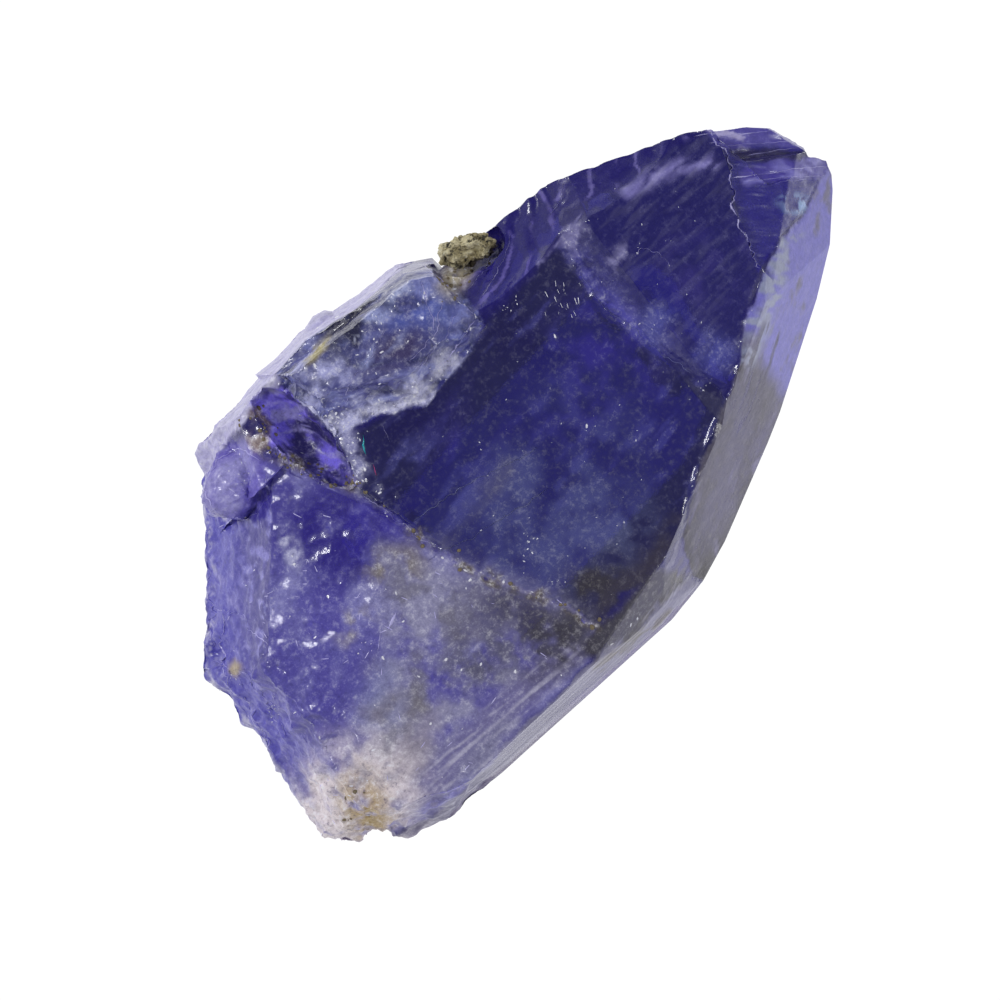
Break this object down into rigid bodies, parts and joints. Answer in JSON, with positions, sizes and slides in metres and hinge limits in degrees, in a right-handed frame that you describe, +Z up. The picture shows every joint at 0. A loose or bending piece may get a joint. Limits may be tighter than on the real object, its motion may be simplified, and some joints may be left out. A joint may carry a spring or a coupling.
{
  "type": "rough tanzanite crystal",
  "caption": "Rough blue-violet tanzanite crystal lying on its side, with a pointed end, a broken end, a smaller crystal grown on its back edge and a crumb of host rock in a notch.",
  "frame": {"origin": "under the middle of the bounding box, on the surface that the stone rests on", "axes": "+X along the crystal's length to its pointed end, +Y across it to the edge with the smaller crystal, +Z up"},
  "size_m": [0.0282, 0.0158, 0.0109],
  "materials": {
    "tanzanite": "clear deep blue-violet crystal faces, milky and frosted where it is broken",
    "host_rock": "dull olive-tan grainy rock"
  },
  "bodies": {
    "root": {"crystal": "tanzanite", "host_rock_crumb": "host_rock"}
  },
  "joints": []
}
